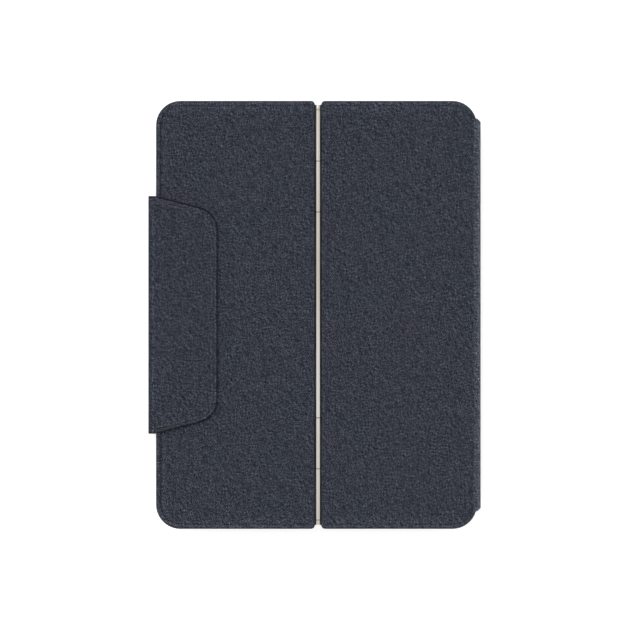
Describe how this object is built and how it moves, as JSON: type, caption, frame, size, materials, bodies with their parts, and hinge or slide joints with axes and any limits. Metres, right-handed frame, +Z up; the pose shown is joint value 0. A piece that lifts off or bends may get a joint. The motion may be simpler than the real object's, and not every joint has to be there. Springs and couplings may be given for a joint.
{
  "type": "tablet keyboard case",
  "caption": "Folio case for a slim tablet, cloth covered, with a steel-hinged two-panel cover, a magnetic side clasp and a thin detachable keyboard stored inside.",
  "frame": {"origin": "middle of the closed case's footprint, on the surface that its rear shell lies on", "axes": "+Z up through the cover, +Y along the case's long side and its steel hinge, +X from the clasp edge to the spine"},
  "size_m": [0.1986, 0.256, 0.0213],
  "materials": {
    "outer_cloth": "twill-woven cloth, matt, dark blue grey, over a stiff board",
    "microfibre_lining": "brushed microfibre, matt",
    "glass_fibre_board": "bare laminate, hidden",
    "tray_polymer": "satin flexible polymer",
    "hinge_steel": "polished steel",
    "magnet": "nickel plated, hidden",
    "keyboard_shell": "fine matt texture",
    "keycap": "matt, slightly dished",
    "rubber_foot": "matt rubber",
    "port_steel": "satin steel",
    "circuit_film": "printed circuit film, hidden",
    "battery_foil": "foil pouch cell, hidden"
  },
  "bodies": {
    "rear_shell": {"shell_back_fabric": "outer_cloth", "shell_back_plate": "glass_fibre_board", "tablet_bed_lining": "microfibre_lining", "shell_border_lining": "microfibre_lining", "shell_magnet_array": "magnet", "camera_trim_ring": "tray_polymer", "tray_rim_short_piece": "tray_polymer", "tray_rim_long_piece": "tray_polymer"},
    "power_button": {"power_button_cover": "tray_polymer"},
    "volume_up_button": {"volume_up_button_cover": "tray_polymer"},
    "volume_down_button": {"volume_down_button_cover": "tray_polymer"},
    "spine": {"spine_lower_fold_fabric": "outer_cloth", "spine_fabric": "outer_cloth", "spine_stiffener": "glass_fibre_board", "spine_upper_fold_fabric": "outer_cloth"},
    "cover_hinge_panel": {"hinge_panel_fabric": "outer_cloth", "hinge_panel_board": "glass_fibre_board", "hinge_panel_lining": "microfibre_lining", "hinge_panel_magnet_array": "magnet", "hinge_inner_knuckle_top": "hinge_steel", "hinge_inner_knuckle_bottom": "hinge_steel"},
    "cover_free_panel": {"free_panel_fabric": "outer_cloth", "free_panel_board": "glass_fibre_board", "free_panel_lining": "microfibre_lining", "free_panel_magnet_array": "magnet", "hinge_centre_tube": "hinge_steel", "hinge_outer_knuckle_top": "hinge_steel", "hinge_outer_knuckle_bottom": "hinge_steel", "hinge_pin_top": "hinge_steel", "hinge_pin_bottom": "hinge_steel"},
    "clasp_strip": {"clasp_lower_fold_fabric": "outer_cloth", "clasp_strip_fabric": "outer_cloth", "clasp_strip_stiffener": "glass_fibre_board"},
    "clasp_flap": {"clasp_upper_fold_fabric": "outer_cloth", "clasp_flap_fabric": "outer_cloth", "clasp_flap_stiffener": "glass_fibre_board", "clasp_flap_lining": "microfibre_lining", "clasp_magnet_array": "magnet"},
    "keyboard": {"keyboard_top_case": "keyboard_shell", "keyboard_bottom_case": "keyboard_shell", "key_switch_membrane": "circuit_film", "keyboard_battery": "battery_foil", "keyboard_magnet_array": "magnet", "charging_port": "port_steel", "keyboard_front_foot": "rubber_foot", "keyboard_rear_foot": "rubber_foot", "keyboard_screw_1": "port_steel", "keyboard_screw_2": "port_steel"},
    "power_switch": {"keyboard_power_switch": "rubber_foot"},
    "function_keys_body": {"function_keys": "keycap"},
    "number_keys_body": {"number_keys": "keycap"},
    "upper_letter_keys_body": {"upper_letter_keys": "keycap"},
    "home_letter_keys_body": {"home_letter_keys": "keycap"},
    "lower_letter_keys_body": {"lower_letter_keys": "keycap"},
    "left_modifier_keys_body": {"left_modifier_keys": "keycap"},
    "right_modifier_keys_body": {"right_modifier_keys": "keycap"},
    "space_bar_body": {"space_bar": "keycap"},
    "return_key_body": {"return_key": "keycap"},
    "arrow_keys_body": {"arrow_keys": "keycap"}
  },
  "joints": [
    {"name": "spine_lower_fold", "type": "hinge", "parent": "rear_shell", "child": "spine", "pos_m": [0.0982, 0, 0.0011], "axis": [0, 1, 0], "range_deg": [0, 90], "deforming": ["spine_lower_fold_fabric", "clasp_flap_fabric", "clasp_flap_stiffener", "clasp_flap_lining", "clasp_magnet_array"]},
    {"name": "spine_upper_fold", "type": "hinge", "parent": "spine", "child": "cover_hinge_panel", "pos_m": [0.0982, 0, 0.0178], "axis": [0, 1, 0], "range_deg": [0, 90], "deforming": ["spine_upper_fold_fabric", "clasp_flap_fabric", "clasp_flap_stiffener", "clasp_flap_lining", "clasp_magnet_array"]},
    {"name": "kickstand_hinge", "type": "hinge", "parent": "cover_hinge_panel", "child": "cover_free_panel", "pos_m": [0.002, 0, 0.0179], "axis": [0, -1, 0], "range_deg": [-120, 0], "deforming": ["clasp_flap_fabric", "clasp_flap_stiffener", "clasp_flap_lining", "clasp_magnet_array"]},
    {"name": "clasp_lower_fold", "type": "hinge", "parent": "rear_shell", "child": "clasp_strip", "pos_m": [-0.0982, 0, 0.0011], "axis": [0, -1, 0], "range_deg": [0, 90], "deforming": ["clasp_lower_fold_fabric"]},
    {"name": "clasp_upper_fold", "type": "hinge", "parent": "clasp_strip", "child": "clasp_flap", "pos_m": [-0.0982, 0, 0.0202], "axis": [0, -1, 0], "range_deg": [0, 90], "deforming": ["clasp_upper_fold_fabric"]},
    {"name": "keyboard_lift_off", "type": "slide", "parent": "cover_hinge_panel", "child": "keyboard", "axis": [0, -1, 0], "range_m": [0, 0.26]},
    {"name": "power_switch_slide", "type": "slide", "parent": "keyboard", "child": "power_switch", "axis": [1, 0, 0], "range_m": [0, 0.0025]},
    {"name": "power_button_press", "type": "slide", "parent": "rear_shell", "child": "power_button", "axis": [0, 1, 0], "range_m": [0, 0.0003], "stiffness_N_per_m": 2000},
    {"name": "volume_up_button_press", "type": "slide", "parent": "rear_shell", "child": "volume_up_button", "axis": [0, 1, 0], "range_m": [0, 0.0003], "stiffness_N_per_m": 2000},
    {"name": "volume_down_button_press", "type": "slide", "parent": "rear_shell", "child": "volume_down_button", "axis": [0, 1, 0], "range_m": [0, 0.0003], "stiffness_N_per_m": 2000},
    {"name": "function_keys_press", "type": "slide", "parent": "keyboard", "child": "function_keys_body", "axis": [0, 0, 1], "range_m": [0, 0.0009], "stiffness_N_per_m": 500},
    {"name": "number_keys_press", "type": "slide", "parent": "keyboard", "child": "number_keys_body", "axis": [0, 0, 1], "range_m": [0, 0.0009], "stiffness_N_per_m": 500},
    {"name": "upper_letter_keys_press", "type": "slide", "parent": "keyboard", "child": "upper_letter_keys_body", "axis": [0, 0, 1], "range_m": [0, 0.0009], "stiffness_N_per_m": 500},
    {"name": "home_letter_keys_press", "type": "slide", "parent": "keyboard", "child": "home_letter_keys_body", "axis": [0, 0, 1], "range_m": [0, 0.0009], "stiffness_N_per_m": 500},
    {"name": "lower_letter_keys_press", "type": "slide", "parent": "keyboard", "child": "lower_letter_keys_body", "axis": [0, 0, 1], "range_m": [0, 0.0009], "stiffness_N_per_m": 500},
    {"name": "left_modifier_keys_press", "type": "slide", "parent": "keyboard", "child": "left_modifier_keys_body", "axis": [0, 0, 1], "range_m": [0, 0.0009], "stiffness_N_per_m": 500},
    {"name": "right_modifier_keys_press", "type": "slide", "parent": "keyboard", "child": "right_modifier_keys_body", "axis": [0, 0, 1], "range_m": [0, 0.0009], "stiffness_N_per_m": 500},
    {"name": "space_bar_press", "type": "slide", "parent": "keyboard", "child": "space_bar_body", "axis": [0, 0, 1], "range_m": [0, 0.0009], "stiffness_N_per_m": 500},
    {"name": "return_key_press", "type": "slide", "parent": "keyboard", "child": "return_key_body", "axis": [0, 0, 1], "range_m": [0, 0.0009], "stiffness_N_per_m": 500},
    {"name": "arrow_keys_press", "type": "slide", "parent": "keyboard", "child": "arrow_keys_body", "axis": [0, 0, 1], "range_m": [0, 0.0009], "stiffness_N_per_m": 500}
  ]
}
